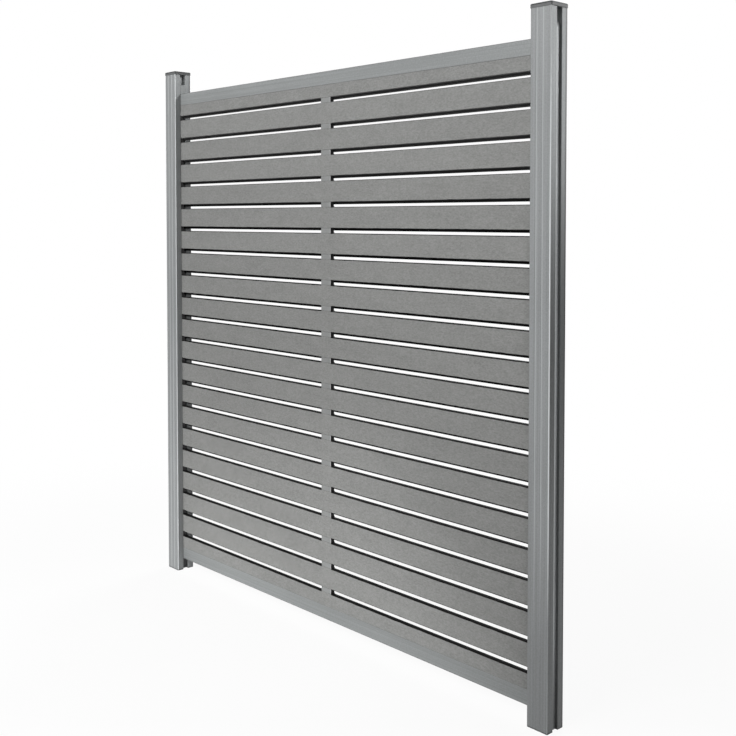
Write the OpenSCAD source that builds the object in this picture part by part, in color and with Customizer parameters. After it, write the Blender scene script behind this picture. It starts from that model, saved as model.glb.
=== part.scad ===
// Open-board privacy fence, one bay: two slotted aluminium posts with caps, and a panel of
// hollow composite boards held apart by spacer blocks between a bottom rail and a top rail.
//
// Frame: the origin is the middle of the left post's foot, +X runs along the fence to the
// right post, the front faces -Y and +Z is up.

/* [Bay] */
// Distance between the middles of the two posts
post_spacing = 1813; // [1000:1:2400]
// Clear height from the ground to the underside of the bottom rail
ground_clearance = 44; // [10:1:150]
// Height of the posts above the top rail
post_above_panel = 75.5; // [50:0.5:300]

/* [Post] */
// Outer width of a post along the fence
post_w = 70; // [60:1:120]
// Outer depth of a post from front to back
post_d = 70; // [60:1:120]
// Wall of the post extrusion
post_wall = 2.5; // [2:0.1:3]
// Radius of the post's four long edges
post_corner_r = 3; // [2.6:0.1:4]
// Depth of the slot in each side of a post
slot_depth = 13; // [11:0.5:18]
// Rounding of the slots' mouths
slot_mouth_r = 1.2; // [0.3:0.1:1.5]
// Distance between the two shallow flutes in the front and back faces
flute_spacing = 21; // [14:1:26]
// Width of a flute
flute_w = 6; // [3:0.5:8]
// Depth of the flutes
flute_depth = 0.9; // [0.4:0.1:1.2]
// Bore of the four screw ports inside a post
port_r = 2.1; // [1.8:0.1:2.6]
// Wall of the screw ports
port_wall = 1.5; // [1.2:0.1:2]

/* [Slot covers] */
// How far the strip that covers an unused slot sits back from the post's face
cover_recess = 8; // [3:0.5:8]
// How far below the post's top the cover strip stops
cover_top_gap = 40; // [0:1:80]
// Wall of the cover strip
cover_wall = 1.6; // [1.2:0.1:2]

/* [Stop blocks] */
// Height of the block that fills the slot above the top rail
stop_block_h = 35.5; // [20:0.5:45]
// How far its face sits back from the post's face
stop_block_inset = 0.4; // [0.2:0.1:2]

/* [Post cap] */
// Thickness of the cap's plate
cap_h = 11; // [6:0.5:16]
// How far the cap stands out past the post on every side
cap_overhang = 1.5; // [1:0.5:4]
// Length of the plug that the cap pushes into the post
cap_plug_h = 14; // [6:1:25]
// Wall of the plug
cap_plug_wall = 2; // [1.2:0.1:2.5]

/* [Boards] */
// Height of a full board's front face
board_h = 70; // [60:1:100]
// Thickness of a board
board_t = 21; // [18:0.5:28]
// Open gap between two boards
board_gap = 16; // [10:0.5:24]
// Height of the narrow board under the top rail
top_board_h = 42.5; // [30:0.5:60]
// Height of the narrow board on the bottom rail
bottom_board_h = 47; // [30:0.5:60]
// Thickness of the lap that hangs down along a board's back
lap_t = 6; // [4:0.5:7]
// How far the lap hangs below the front face
lap_h = 7.5; // [4:0.5:8]
// Outer walls of a hollow board
board_wall = 4.5; // [3:0.1:5.5]
// Radius of the board's long edges
board_edge_r = 1.2; // [0.5:0.1:2]

/* [Rails] */
// Height of the top rail and of the bottom rail
rail_h = 44; // [30:1:70]
// Wall of the rail extrusions
rail_wall = 2; // [1.5:0.1:3]

/* [Spacers] */
// Length along the fence of the spacers in the middle of the bay
spacer_w = 48; // [20:1:120]
// Length of the spacers that stand in the posts' slots
end_spacer_w = 8; // [5:0.5:12]
// Thickness of the leg that hooks a spacer behind the board below it
spacer_leg_t = 2; // [1:0.5:3]

/* [Fits] */
// Clearance on each side of a board in its slot
slot_clearance = 0.25; // [0.1:0.05:0.4]
// Clearance on each side of a cover strip in its slot
cover_clearance = 0.15; // [0.1:0.05:0.3]
// Room left for the boards to grow towards the bottom of each slot
end_clearance = 2; // [1:0.5:4]
// Clearance of a lap in the rebate of the piece below it
lap_clearance = 0.3; // [0.2:0.05:0.5]
// Clearance of the cap's plug in the post
plug_clearance = 0.3; // [0.1:0.05:0.5]

/* [Hidden] */
$fn = 48;
board_count = 21;
full_boards = board_count - 2;
chambers_full = 4;
chambers_narrow = 2;
web_t = 3.5;
chamber_r = 1.5;
rail_edge_r = 1;
rail_inner_r = 0.6;
chamber_corner_r = 0.6;
cap_edge = 1.5;
port_mouth_w = 3;
cut = 1;

slot_w = board_t + 2 * slot_clearance;
half_w = post_w / 2;
half_d = post_d / 2;
flute_r = (flute_w * flute_w / 4 + flute_depth * flute_depth) / (2 * flute_depth);
board_front = -board_t / 2;
board_x0 = half_w - slot_depth + end_clearance;
board_len = post_spacing - 2 * board_x0;
right_spacer_x0 = post_spacing - board_x0 - end_spacer_w;
centre_spacer_x0 = (post_spacing - spacer_w) / 2;
rebate_t = lap_t + lap_clearance;
rebate_h = lap_h + lap_clearance;
pitch = board_h + board_gap;

bottom_rail_z = ground_clearance;
bottom_board_z = bottom_rail_z + rail_h;
first_full_z = bottom_board_z + bottom_board_h + board_gap;
top_board_z = first_full_z + full_boards * pitch;
top_rail_z = top_board_z + top_board_h;
post_h = top_rail_z + rail_h + post_above_panel;
cover_h = post_h - cover_top_gap;

function two(n) = n < 10 ? str("0", n) : str(n);
function board_name(n) = str("board_", two(n));
// board 1 is the narrow one under the top rail, the last is the narrow one on the bottom rail
function board_height(n) = n == 1 ? top_board_h : n == board_count ? bottom_board_h : board_h;
function board_z(n) = n == 1 ? top_board_z
    : n == board_count ? bottom_board_z
    : first_full_z + (board_count - 1 - n) * pitch;

post_grey = [0.56, 0.57, 0.58];
cap_grey = [0.43, 0.44, 0.45];
board_grey = [0.55, 0.55, 0.54];
rail_grey = [0.58, 0.60, 0.59];
cover_grey = [0.53, 0.54, 0.54];
block_grey = [0.57, 0.58, 0.58];

// ---- shapes ----

// Rectangle w by h from its lower left corner, with all four corners rounded
module rounded_rect(w, h, r) {
    translate([r, 0]) square([w - 2 * r, h]);
    translate([0, r]) square([w, h - 2 * r]);
    for (x = [r, w - r], y = [r, h - r]) translate([x, y]) circle(r);
}

module centred_square(w, d) {
    translate([-w / 2, -d / 2]) square([w, d]);
}

// Stands a profile drawn as (depth from the front face, height) upright and draws it out along X
module along_fence(x0, length, z0) {
    translate([x0, board_front, z0])
        rotate([90, 0, 90])
            linear_extrude(length) children();
}

// ---- posts ----

module post_slots(grow) {
    slot_x = half_w - slot_depth - grow;
    for (side = [0, 1]) mirror([side, 0])
        translate([slot_x, -slot_w / 2 - grow]) square([slot_depth + grow + cut, slot_w + 2 * grow]);
}

// What is cut away to round the two long edges of each slot's mouth
module slot_mouths() {
    for (side = [0, 1], edge = [0, 1]) mirror([side, 0]) mirror([0, edge])
        translate([half_w - slot_mouth_r, slot_w / 2 - cut]) difference() {
            square([slot_mouth_r + cut, slot_mouth_r + cut]);
            translate([0, slot_mouth_r + cut]) circle(slot_mouth_r);
        }
}

// The hollow inside a post
module post_chamber() {
    difference() {
        translate([post_wall - half_w, post_wall - half_d])
            rounded_rect(post_w - 2 * post_wall, post_d - 2 * post_wall, chamber_corner_r);
        post_slots(post_wall);
    }
}

// One C-shaped screw port, open towards the middle of the post, in each corner of the hollow
module screw_ports() {
    inset = post_wall + port_r + port_wall / 2;
    for (side = [0, 1], edge = [0, 1]) mirror([side, 0]) mirror([0, edge])
        translate([half_w - inset, half_d - inset]) difference() {
            circle(port_r + port_wall);
            circle(port_r);
            rotate(225) translate([0, -port_mouth_w / 2]) square([port_r + port_wall + cut, port_mouth_w]);
        }
}

// What is cut away for the flutes: wide circles that just enter the front and back faces
module post_flutes() {
    y = half_d + flute_r - flute_depth;
    for (side = [-1, 1], face = [-1, 1]) translate([side * flute_spacing / 2, face * y]) circle(flute_r);
}

module post_section() {
    difference() {
        translate([-half_w, -half_d]) rounded_rect(post_w, post_d, post_corner_r);
        post_slots(0);
        slot_mouths();
        post_chamber();
        post_flutes();
    }
    screw_ports();
}

module post(x) {
    color(post_grey) translate([x, 0, 0]) linear_extrude(post_h) post_section();
}

// A plate over the post, with a hollow plug that fits between the webs of the two slots
module post_cap(x) {
    w = post_w + 2 * cap_overhang;
    d = post_d + 2 * cap_overhang;
    plug_w = post_w - 2 * (slot_depth + post_wall + plug_clearance);
    plug_d = post_d - 2 * (post_wall + plug_clearance);
    color(cap_grey) translate([x, 0, post_h]) {
        linear_extrude(cap_h - cap_edge) translate([-w / 2, -d / 2])
            rounded_rect(w, d, post_corner_r + cap_overhang);
        translate([0, 0, cap_h - cap_edge]) linear_extrude(cap_edge)
            translate([cap_edge - w / 2, cap_edge - d / 2])
                rounded_rect(w - 2 * cap_edge, d - 2 * cap_edge, post_corner_r + cap_overhang - cap_edge);
        translate([0, 0, -cap_plug_h]) linear_extrude(cap_plug_h) difference() {
            centred_square(plug_w, plug_d);
            centred_square(plug_w - 2 * cap_plug_wall, plug_d - 2 * cap_plug_wall);
        }
    }
}

// Mirrors what is drawn for a slot that opens towards +X, where side is -1
module slot_side(side) {
    mirror([side < 0 ? 1 : 0, 0]) translate([half_w - slot_depth, 0]) children();
}

// A channel, open towards the post, that covers the slot in the post's outer side
module slot_cover(x, side) {
    width = slot_w - 2 * cover_clearance;
    depth = slot_depth - cover_recess;
    color(cover_grey) translate([x, 0, 0]) linear_extrude(cover_h) slot_side(side) difference() {
        translate([0, -width / 2]) square([depth, width]);
        translate([-cut, cover_wall - width / 2]) square([depth - cover_wall + cut, width - 2 * cover_wall]);
    }
}

// A block that fills the slot above the top rail, so that the panel can't be lifted out
module stop_block(x, side) {
    color(block_grey) translate([x, 0, top_rail_z + rail_h]) linear_extrude(stop_block_h) slot_side(side)
        translate([0, -board_t / 2]) square([slot_depth - stop_block_inset, board_t]);
}

// ---- boards and rails ----

// Outline shared by boards and rails: front face h high, a lap at the bottom of the back
// that hangs below it, and a rebate at the top of the back for the lap of the piece above
module lapped_outline(h, edge_r, lap, rebate) {
    lap_front = board_t - lap_t;
    difference() {
        union() {
            rounded_rect(board_t, h, edge_r);
            if (lap) translate([lap_front, -lap_h]) rounded_rect(lap_t, h / 2 + lap_h, edge_r);
        }
        if (rebate) translate([board_t - rebate_t, h - rebate_h]) square([rebate_t + cut, rebate_h + cut]);
    }
}

module board_chambers(h, count) {
    low = board_wall;
    high = h - rebate_h - board_wall;
    chamber_h = (high - low - (count - 1) * web_t) / count;
    for (i = [0:count - 1])
        translate([board_wall, low + i * (chamber_h + web_t)])
            rounded_rect(board_t - 2 * board_wall, chamber_h, chamber_r);
}

module board(n) {
    h = board_height(n);
    color(board_grey) along_fence(board_x0, board_len, board_z(n)) difference() {
        lapped_outline(h, board_edge_r, true, true);
        board_chambers(h, h < board_h ? chambers_narrow : chambers_full);
    }
}

module rail(z, lap, rebate) {
    top = rail_h - (rebate ? rebate_h : 0) - rail_wall;
    color(rail_grey) along_fence(board_x0, board_len, z) difference() {
        lapped_outline(rail_h, rail_edge_r, lap, rebate);
        translate([rail_wall, rail_wall])
            rounded_rect(board_t - 2 * rail_wall, top - rail_wall, rail_inner_r);
    }
}

// ---- spacers ----

// A block as high as the gap, flush with the boards and in front of the upper board's lap. Its
// leg goes down behind the lower board's front edge, into the rebate, so it can't slide out
module spacer_outline() {
    leg_front = board_t - lap_t;
    square([board_t - rebate_t - lap_clearance, board_gap]);
    square([leg_front + spacer_leg_t, spacer_leg_t]);
    translate([leg_front, -lap_h]) square([spacer_leg_t, lap_h + spacer_leg_t]);
}

module spacer_row(x0, length) {
    color(rail_grey)
        for (n = [2:board_count])
            along_fence(x0, length, board_z(n) + board_height(n)) spacer_outline();
}

for (n = [1:board_count])
    board(n);
post(0);  // left_post
post(post_spacing);  // right_post
post_cap(0);  // left_post_cap
post_cap(post_spacing);  // right_post_cap
slot_cover(0, -1);  // left_slot_cover
slot_cover(post_spacing, 1);  // right_slot_cover
stop_block(0, 1);  // left_stop_block
stop_block(post_spacing, -1);  // right_stop_block
rail(top_rail_z, true, false);  // top_rail
rail(bottom_rail_z, false, true);  // bottom_rail
spacer_row(centre_spacer_x0, spacer_w);  // centre_spacers
spacer_row(board_x0, end_spacer_w);  // left_spacers
spacer_row(right_spacer_x0, end_spacer_w);  // right_spacers
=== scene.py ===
# One bay of an open-board privacy fence, dressed for a studio picture.
import math

import bpy
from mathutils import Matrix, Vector


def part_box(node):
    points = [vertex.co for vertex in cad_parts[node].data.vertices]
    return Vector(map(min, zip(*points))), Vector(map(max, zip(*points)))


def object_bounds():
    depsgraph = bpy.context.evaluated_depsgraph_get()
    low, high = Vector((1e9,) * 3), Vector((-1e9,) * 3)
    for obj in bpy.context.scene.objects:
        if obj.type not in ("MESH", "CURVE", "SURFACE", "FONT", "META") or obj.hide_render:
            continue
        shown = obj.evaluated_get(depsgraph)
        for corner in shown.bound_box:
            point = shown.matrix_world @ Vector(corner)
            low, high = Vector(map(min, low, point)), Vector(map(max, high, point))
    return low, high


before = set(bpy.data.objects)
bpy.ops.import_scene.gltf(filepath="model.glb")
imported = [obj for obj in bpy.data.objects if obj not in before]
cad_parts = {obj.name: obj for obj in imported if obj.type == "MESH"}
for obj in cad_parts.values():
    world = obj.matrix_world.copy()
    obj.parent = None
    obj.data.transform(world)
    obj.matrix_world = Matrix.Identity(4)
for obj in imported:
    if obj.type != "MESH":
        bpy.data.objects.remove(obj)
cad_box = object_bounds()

scene = bpy.context.scene

WHITE = (1.0, 1.0, 1.0, 1.0)


# ---- node helpers ----

class Graph:
    """The node tree of a material or of the world."""

    def __init__(self, owner, output="OutputMaterial"):
        owner.use_nodes = True
        self.owner = owner
        self.tree = owner.node_tree
        self.tree.nodes.clear()
        self.out = self.add(output)

    def link(self, source, target):
        self.tree.links.new(source, target)

    def feed(self, socket, value):
        """Links another node's socket, and sets a number or colour on the socket itself."""
        if isinstance(value, bpy.types.NodeSocket):
            self.link(value, socket)
        else:
            socket.default_value = value

    def add(self, kind, inputs=(), **settings):
        node = self.tree.nodes.new("ShaderNode" + kind)
        for key, value in settings.items():
            setattr(node, key, value)
        for key, value in dict(inputs).items():
            self.feed(node.inputs[key], value)
        return node

    def place(self):
        """Object coordinates, which are the row frame in metres."""
        return self.add("TexCoord").outputs["Object"]

    def split(self, vector):
        return self.add("SeparateXYZ", {"Vector": vector}).outputs

    def normal(self):
        return self.split(self.add("TexCoord").outputs["Normal"])

    def noise(self, scale, detail=2.0, rough=0.5):
        """Noise with scale cells a metre along X, Y and Z."""
        stretched = self.add("Mapping", {"Vector": self.place(), "Scale": scale}).outputs["Vector"]
        inputs = {"Vector": stretched, "Scale": 1.0, "Detail": detail, "Roughness": rough}
        return self.add("TexNoise", inputs).outputs["Fac"]

    def maths(self, operation, *values):
        node = self.add("Math", operation=operation)
        for socket, value in zip(node.inputs, values):
            self.feed(socket, value)
        return node.outputs[0]

    def fold(self, operation, values):
        result, *others = values
        for value in others:
            result = self.maths(operation, result, value)
        return result

    def product(self, *values):
        return self.fold("MULTIPLY", values)

    def total(self, *values):
        return self.fold("ADD", values)

    def most(self, *values):
        return self.fold("MAXIMUM", values)

    def minus(self, a, b):
        return self.maths("SUBTRACT", a, b)

    def size(self, value):
        return self.maths("ABSOLUTE", value)

    def weighted(self, *pairs):
        """The sum of each value times its weight."""
        return self.total(*(self.product(value, weight) for value, weight in pairs))

    def span(self, value, low, high, to_low=0.0, to_high=1.0, smooth=True):
        """value from low..high mapped to to_low..to_high and held there."""
        inputs = {"Value": value, "From Min": low, "From Max": high, "To Min": to_low, "To Max": to_high}
        node = self.add("MapRange", inputs)
        node.interpolation_type = "SMOOTHSTEP" if smooth else "LINEAR"
        return node.outputs[0]

    def blend(self, factor, a, b):
        """Colour a where factor is 0, colour b where it is 1."""
        node = self.add("Mix", data_type="RGBA")
        for key, value in (("Factor", factor), ("A", a), ("B", b)):
            self.feed(next(s for s in node.inputs if s.name == key and s.enabled), value)
        return next(s for s in node.outputs if s.enabled)

    def bump(self, height, strength, distance, under=None):
        inputs = {"Height": height, "Strength": strength, "Distance": distance}
        if under is not None:
            inputs["Normal"] = under
        return self.add("Bump", inputs).outputs["Normal"]

    def principled(self, **inputs):
        named = {key.replace("_", " "): value for key, value in inputs.items()}
        self.show(self.add("BsdfPrincipled", named))
        return self.owner

    def either(self, factor, a, b):
        """Shader a where factor is 0, shader b where it is 1."""
        mix = self.add("MixShader", {"Fac": factor})
        self.link(a.outputs[0], mix.inputs[1])
        self.link(b.outputs[0], mix.inputs[2])
        self.show(mix)

    def show(self, shader):
        self.link(shader.outputs[0], self.out.inputs["Surface"])


def material_graph(name):
    return Graph(bpy.data.materials.new(name))


# red and blue of each finish as shares of its green
NEUTRAL = (1.0, 1.0)
BOARD_TINT = (0.992, 0.976)
POST_TINT = (0.965, 1.012)
RAIL_TINT = (0.957, 1.002)
SPACER_TINT = (0.975, 0.99)


def grey(level, tint=NEUTRAL):
    return (level * tint[0], level, level * tint[1], 1.0)


# ---- boards ----

BOARD_H = 0.070
EDGE_LINE = (0.0016, 0.0022)    # from a long edge, where its painted dark line begins to fade and ends
EDGE_WANDER = 0.0004            # how far the line strays to either side
LOW_EDGE_EXTRA = 0.0007         # how much further the upper line reaches on the lower boards
BRUSHED = (0.204, 0.290)        # levels of the darkest and the lightest grain
SKIN_AND_SHADE = (0.0035, 0.09)           # levels of the unbrushed dark surface with painted shade: near black low on the panel, lighter near the top
SKIN_SHADE_EASES = (1.3, 1.75)         # heights between which that painted shade lightens
POST_SHADE_FROM_FACE = (0.05, 0.01)  # from the right post's face, where the painted shade begins and is full
POST_SHADE_FADES = (1.2, 1.7)        # heights between which it ends
ROW_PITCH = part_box("board_19")[1].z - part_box("board_20")[1].z


def board_skin_and_shade(g, fibre):
    """How much unbrushed dark surface with painted shade there is in the gaps and on the lap's front, how
    much painted dark line lies along the long edges, and the number of the board's row."""
    x, y, z = g.split(g.place())
    nx, ny, nz = g.normal()
    # painted shade: near-black faces in the gaps and on the lap's front stand in for the shade there
    in_gap = g.span(g.size(nz), 0.4, 0.7)
    lap = g.product(g.span(y, 0.0, 0.002), g.span(ny, -0.9, -0.7, 1.0, 0.0))
    rows_down = g.product(g.minus(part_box("board_20")[1].z, z), 1 / ROW_PITCH)
    # painted shade: dark lines along the long edges, reaching further on the lower boards
    wander = g.span(fibre, 0.3, 0.7, -EDGE_WANDER, EDGE_WANDER)
    down = g.total(g.product(g.maths("FRACT", rows_down), ROW_PITCH), wander)
    from_top = g.minus(down, g.span(z, 1.1, 1.5, LOW_EDGE_EXTRA, 0.0))
    upper = g.span(from_top, *EDGE_LINE, 1.0, 0.0)
    lower = g.span(down, BOARD_H - EDGE_LINE[1], BOARD_H - EDGE_LINE[0])
    # the lines stop at the spacers, which stand flush with the boards
    spacer_lo, spacer_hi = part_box("centre_spacers")
    from_spacer = g.size(g.minus(x, (spacer_lo.x + spacer_hi.x) / 2))
    half_spacer = (spacer_hi.x - spacer_lo.x) / 2
    beside = g.span(from_spacer, half_spacer - 0.001, half_spacer + 0.001)
    return g.most(in_gap, lap, g.product(g.most(upper, lower), beside)), g.maths("FLOOR", rows_down)


def composite():
    """Brushed wood-plastic: fine fibres along the board, an even speckle, and dark unbrushed edges with
    painted shade.
    """
    g = material_graph("brushed_composite")
    fibre = g.noise((30, 900, 900), 3, 0.6)
    speckle = g.noise((150, 330, 330), 2, 0.6)
    mottle = g.noise((9, 22, 22))
    skin_and_shade, row = board_skin_and_shade(g, fibre)
    tone = g.add("TexWhiteNoise", {"W": row}, noise_dimensions="1D").outputs["Value"]
    grain = g.weighted((fibre, 0.2), (speckle, 0.62), (mottle, 0.15), (tone, 0.03))
    darkest, lightest = (grey(level, BOARD_TINT) for level in BRUSHED)
    brushed = g.blend(g.span(grain, 0.36, 0.64, smooth=False), darkest, lightest)
    x, y, z = g.split(g.place())
    # painted shade beside the right post, over the lower part of the panel
    post_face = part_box("right_post")[0].x
    beside_post = g.span(x, *(post_face - distance for distance in POST_SHADE_FROM_FACE))
    shade_by_post = g.product(beside_post, g.span(z, *POST_SHADE_FADES, 0.14, 0.0))
    brushed = g.blend(shade_by_post, brushed, grey(0.03, BOARD_TINT))
    # the painted shade in the gaps is lighter toward the top of the panel
    skin_and_shade_colour = g.blend(g.span(z, *SKIN_SHADE_EASES), *(grey(level) for level in SKIN_AND_SHADE))
    return g.principled(
        Base_Color=g.blend(skin_and_shade, brushed, skin_and_shade_colour),
        Roughness=g.span(fibre, 0.3, 0.7, 0.72, 0.9),
        Specular_IOR_Level=0.08,
        Normal=g.bump(g.weighted((fibre, 0.6), (speckle, 1.0)), 0.3, 0.0005),
    )


# ---- coated extrusions ----

# on a post, in metres: from its middle along X, and along Y, where its front is at -0.035
FLUTES_END = (0.018, 0.022)
CORNER_STARTS = (0.030, 0.032)
FRONT_ENDS = (-0.031, -0.029)
REAR_STARTS = (0.023, 0.034)
HALF_SLOT = (0.0113, 0.0117)
SLOT_FLOOR = (0.020, 0.021)
SLOT_MOUTH = (0.0340, 0.0346)
# and heights: the painted dark line at the foot, the painted shade over it, where the painted highlight and
# bare metal lessen, the cover's end
FOOT_LINE = (0.001, 0.006)
SHADED_FOOT = (0.1, 0.65)
HIGHLIGHT_WANES = (1.55, 1.85)
COVER_TOP = (1.895, 1.907)

panel_lo, panel_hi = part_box("bottom_rail")[0].z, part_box("top_rail")[1].z
post_middles = [sum(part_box(name), Vector()).x / 2 for name in ("left_post", "right_post")]


def post_coat(g, colour, level):
    """The post's colour and its share of bare metal. Painted highlights make the flutes and the right front
    corner lighter, and painted shade darkens where the front turns left, the rear edges, the slots, the
    foot and the right post's lower part."""
    x, y, z = g.split(g.place())
    nx, ny, nz = g.normal()
    # 1 where the surface turns between the front and a side, as it does at rounded edges and in flutes
    turned = g.span(g.size(g.product(nx, ny)), 0.08, 0.35)
    from_middle = g.maths("MINIMUM", *(g.size(g.minus(x, middle)) for middle in post_middles))
    front = g.span(y, *FRONT_ENDS, 1.0, 0.0)
    right_post = g.span(x, *post_middles)
    # painted shade: the right post darkens toward its foot, and its painted highlights fade there
    shadowed = g.product(right_post, g.minus(1.0, g.span(z, *SHADED_FOOT)))
    bright = g.minus(1.0, shadowed)

    # painted highlight: the flutes' walls are lighter
    flutes = g.product(turned, bright, g.span(from_middle, *FLUTES_END, 1.0, 0.0))
    colour = g.blend(flutes, colour, grey(level * 1.75, POST_TINT))

    # painted highlight along the front-right corner, weaker high on the right post
    to_right = g.span(nx, 0.0, 0.1)
    corner = g.product(turned, g.most(bright, 0.3), g.span(from_middle, *CORNER_STARTS), front, to_right)
    high = g.product(right_post, g.most(g.span(z, 1.36, 1.56, 0.0, 0.45), g.span(z, *HIGHLIGHT_WANES)))
    corner = g.product(corner, g.minus(1.0, g.product(high, 0.5)))
    colour = g.blend(corner, colour, grey(0.69, POST_TINT))

    # painted shade: dark along the rear edges, where the front turns left, in the slots below the covers'
    # end, as a line at the foot and low on the right post
    rear = g.product(g.span(y, *REAR_STARTS, 0.0, 0.7), g.span(g.size(nx), 0.2, 0.5))
    left_corner = g.product(turned, front, g.span(nx, -0.2, 0.0, 0.35, 0.0))
    in_slot = g.product(
        g.span(g.size(y), *HALF_SLOT, 1.0, 0.0),
        g.span(from_middle, *SLOT_FLOOR),
        g.span(from_middle, *SLOT_MOUTH, 0.5, 0.0),
        g.span(z, *COVER_TOP, 1.0, 0.0),
    )
    foot = g.span(z, *FOOT_LINE, 0.75, 0.0)
    foot_shade = g.product(shadowed, 0.12)
    colour = g.blend(g.most(rear, left_corner, in_slot, foot, foot_shade), colour, grey(0.03, POST_TINT))

    # bare metal along the right post's painted corner highlight, less of it near the top
    bare = g.product(right_post, g.span(z, *HIGHLIGHT_WANES, 0.6, 0.15))
    return colour, g.product(corner, bare)


def rail_coat(g, colour, level):
    """The rail's colour with a painted dark line along the panel's outer edge, and darker toward the bottom
    of the lower rail.
    """
    z = g.split(g.place())[2]
    # painted shade: dark lines along the panel's outer edges
    lower_line = g.span(z, panel_lo + 0.0014, panel_lo + 0.0020, 0.7, 0.0)
    upper_line = g.span(z, panel_hi - 0.0016, panel_hi - 0.0010, 0.0, 0.5)
    low_darkening = g.span(z, 0.1, 0.5, 0.08, 0.0)
    return g.blend(g.most(lower_line, upper_line, low_darkening), colour, grey(0.04, RAIL_TINT)), 0.0


def cover_coat(g, colour, level):
    """The covers are bare metal, painted far lighter than the post, with painted shade toward the foot and
    the top.
    """
    z = g.split(g.place())[2]
    # painted shade: darker toward the foot, above about 1.4 m, and most just below the covers' end
    low_shade = g.total(g.span(z, 0.0, 0.3, 0.42, 0.0), g.span(z, 0.5, 1.15, 0.33, 0.0))
    top_shade = g.most(g.span(z, 1.42, 1.65, 0.0, 0.4), g.span(z, 1.88, 1.907, 0.0, 0.8))
    return g.blend(g.most(low_shade, top_shade), colour, grey(0.05)), 0.55


def coated(name, level, tint, along, rough, dress=None):
    """Satin powder coat over an extrusion drawn along X or Z: a fine peel, and faint draw lines."""
    g = material_graph(name)
    peel = g.noise((420, 420, 420))
    grain = g.noise((1600, 1600, 1600), 1)
    lines = g.noise((1.2, 170, 170) if along == "X" else (170, 170, 1.2))
    speck = g.noise((200, 200, 200))
    cloud = g.noise((2.5, 2.5, 2.5))
    tone = g.weighted((lines, 0.45), (cloud, 0.2), (speck, 0.35))
    colour = g.blend(g.span(tone, 0.35, 0.65), grey(level * 0.88, tint), grey(level * 1.12, tint))
    metal = 0.0
    if dress:
        colour, metal = dress(g, colour, level)
    return g.principled(
        Base_Color=colour,
        Metallic=metal,
        Roughness=g.span(g.weighted((grain, 0.5), (cloud, 0.5)), 0.3, 0.7, rough - 0.05, rough + 0.07),
        Specular_IOR_Level=0.25,
        Normal=g.bump(peel, 0.12, 0.0003, under=g.bump(grain, 0.1, 0.0001)),
    )


# ---- caps and spacers ----

CAP_STEP = (0.0045, 0.0035)     # below the cap's top, where the painted shade band begins and is full


def capped():
    """The caps: a darker grey than the post, with painted shade that darkens the sides and makes the step
    almost black.
    """
    g = material_graph("cap_coat")
    z = g.split(g.place())[2]
    nx, ny, nz = g.normal()
    grain = g.noise((900, 900, 900))
    cloud = g.noise((30, 30, 30))
    tone = g.span(g.weighted((grain, 0.5), (cloud, 0.5)), 0.3, 0.7)
    colour = g.blend(tone, grey(0.105, POST_TINT), grey(0.140, POST_TINT))
    # painted shade on the sides that face along X
    colour = g.blend(g.span(g.size(nx), 0.4, 0.8, 0.0, 0.6), colour, grey(0.04, POST_TINT))
    cap_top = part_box("right_post_cap")[1].z
    begins, full = (cap_top - depth for depth in CAP_STEP)
    # painted shade round the step below the top
    step = g.product(g.span(z, begins, full), g.span(nz, 0.6, 0.9, 1.0, 0.0))
    return g.principled(
        Base_Color=g.blend(step, colour, grey(0.030, POST_TINT)),
        Roughness=g.span(grain, 0.3, 0.7, 0.5, 0.62),
        Specular_IOR_Level=0.25,
        Normal=g.bump(grain, 0.2, 0.0002),
    )


def spacer_plastic():
    """Moulded plastic: a painted highlight along the centre spacers' right edge, and painted shade on every
    face but the front.
    """
    g = material_graph("spacer_plastic")
    x = g.split(g.place())[0]
    nx, ny, nz = g.normal()
    grain = g.noise((700, 700, 700))
    cloud = g.noise((25, 25, 25))
    tone = g.span(g.weighted((grain, 0.4), (cloud, 0.6)), 0.3, 0.7)
    colour = g.blend(tone, grey(0.225, SPACER_TINT), grey(0.265, SPACER_TINT))
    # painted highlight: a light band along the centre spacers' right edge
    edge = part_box("centre_spacers")[1].x
    begins = g.span(x, edge - 0.004, edge - 0.003)
    ends = g.span(x, edge + 0.001, edge + 0.002, 1.0, 0.0)
    colour = g.blend(g.product(begins, ends), colour, grey(0.37))
    front = g.span(ny, -0.8, -0.5, 1.0, 0.0)
    # painted shade on every face but the front, a little lighter on the left spacers, whose sides show
    # inside the slot
    sides = g.blend(g.span(x, 0.1, 0.2), grey(0.10), grey(0.03))
    return g.principled(
        Base_Color=g.blend(front, sides, colour),
        Roughness=g.span(grain, 0.3, 0.7, 0.6, 0.75),
        Specular_IOR_Level=0.3,
        Normal=g.bump(grain, 0.2, 0.0002),
    )


# in this order: the first whose word is in a node's name is that node's material
FINISHES = (
    ("board_", composite()),
    ("_cap", capped()),
    ("_post", coated("post_powder_coat", 0.269, POST_TINT, "Z", 0.34, post_coat)),
    ("_rail", coated("rail_powder_coat", 0.260, RAIL_TINT, "X", 0.42, rail_coat)),
    # the covers' level, far above the post's, is painted light that makes the slot floor show bright
    ("_slot_cover", coated("slot_cover_coat", 0.75, POST_TINT, "Z", 0.5, cover_coat)),
    ("_stop_block", coated("stop_block_coat", 0.26, RAIL_TINT, "Z", 0.5)),
    ("_spacers", spacer_plastic()),
)

for name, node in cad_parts.items():
    material = next(finish for word, finish in FINISHES if word in name)
    for slot in node.material_slots:
        slot.material = material


# ---- studio ----

FLOOR_REACH = 30.0
PAPER = 0.85
AMBIENT = 0.04
FADE = (1.2, 3.0, 0.93, 1.0)    # share of plain white: 0.93 up to 1.2 m from the middle, 1 from 3 m


def seen_directly(graph):
    """1 for the rays that show the background: camera, glossy and transmission."""
    path = graph.add("LightPath").outputs
    return graph.most(path["Is Camera Ray"], path["Is Glossy Ray"], path["Is Transmission Ray"])


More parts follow.
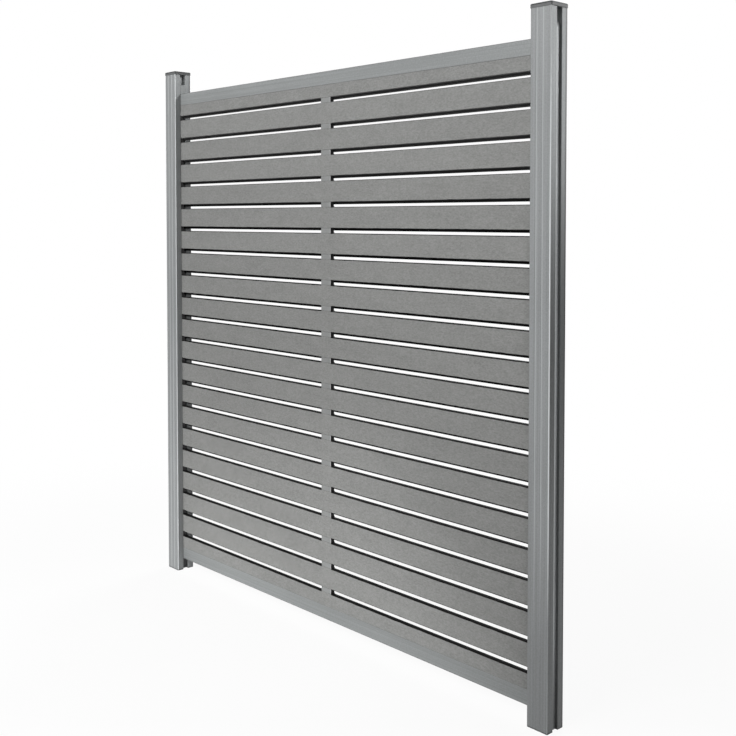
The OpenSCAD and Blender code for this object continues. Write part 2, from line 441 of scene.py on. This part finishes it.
def pale_floor():
    """Pale paper, which takes the fence's shadow and fades to plain white."""
    g = material_graph("pale_floor")
    x, y, z = g.split(g.place())
    away = g.maths("SQRT", g.total(g.product(x, x), g.product(y, y)))
    paper = g.add("BsdfDiffuse", {"Color": grey(PAPER)})
    glow = g.add("Emission", {"Color": WHITE, "Strength": 1.0})
    g.either(g.product(g.span(away, *FADE), seen_directly(g)), paper, glow)
    return g.owner


lo, hi = cad_box
middle = (lo + hi) / 2
reach = FLOOR_REACH
floor_mesh = bpy.data.meshes.new("floor")
floor_corners = [(-reach, -reach, 0), (reach, -reach, 0), (reach, reach, 0), (-reach, reach, 0)]
floor_mesh.from_pydata(floor_corners, [], [(0, 1, 2, 3)])
floor_mesh.materials.append(pale_floor())
floor = bpy.data.objects.new("floor", floor_mesh)
floor.location = (middle.x, middle.y, lo.z)
scene.collection.objects.link(floor)

world = bpy.data.worlds.new("studio")
scene.world = world
sky = Graph(world, "OutputWorld")
ambient = sky.add("Background", {"Color": WHITE, "Strength": AMBIENT})
backdrop = sky.add("Background", {"Color": WHITE, "Strength": 1.0})
sky.either(seen_directly(sky), ambient, backdrop)


def lamp(name, kind, place, target, watts):
    data = bpy.data.lights.new(name, kind)
    data.energy = watts
    holder = bpy.data.objects.new(name, data)
    holder.location = place
    holder.rotation_euler = (Vector(target) - Vector(place)).to_track_quat("-Z", "Y").to_euler()
    scene.collection.objects.link(holder)
    return data


def softbox(name, place, size, watts):
    """A square area lamp that faces the middle of the panel."""
    data = lamp(name, "AREA", place, (0.9, 0, 1.0), watts)
    data.shape = "SQUARE"
    data.size = size


def spot(name, place, target, degrees, watts, fade=1.0):
    """A spot that fades out from its middle, so it lights one end of a post or of the panel."""
    data = lamp(name, "SPOT", place, target, watts)
    data.spot_size = math.radians(degrees)
    data.spot_blend = fade
    data.shadow_soft_size = 0.15


softbox("key", (1.497, -3.388, 3.409), 1.6, 98)
softbox("fill", (-0.277, -3.233, 3.409), 1.6, 58)
softbox("back", (-0.6, 3.4, 2.6), 1.8, 120)
spot("rim_left", (1.4, 0.9, 2.9), (0.035, 0, 1.95), 13, 165)
spot("low_middle", (1.3, -2.78, 0.3), (0.87, 0, -0.075), 41, 140)
spot("low_left", (0.5, -1.87, 0.3), (-0.456, 0, -0.065), 70, 49)
spot("middle_right", (1.7, -2.8, 1.2), (1.75, 0, 1.15), 44, 17)
spot("rim_front", (3.4, 0.9, 2.9), (1.848, 0, 1.737), 14, 153)
spot("rim_rear", (2.9, 1.6, 2.9), (1.848, 0, 2.1), 40.5, 227, fade=0.43)
spot("rim_low", (3.2, 1.2, 0.6), (1.848, 0, 0.35), 34, 12)


# ---- camera ----

TURN_LEFT = 47.334              # degrees, from a look along +Y
LOOK_DOWN = 2.109

camera_data = bpy.data.cameras.new("camera")
camera_data.sensor_width = 36.0
camera_data.lens = 51.796
camera_data.shift_y = -0.15
camera = bpy.data.objects.new("camera", camera_data)
camera.location = (3.5770, -2.2823, 1.3868)
camera.rotation_euler = (math.radians(90 - LOOK_DOWN), 0.0, math.radians(TURN_LEFT))
scene.collection.objects.link(camera)
scene.camera = camera

scene.view_settings.view_transform = "Standard"
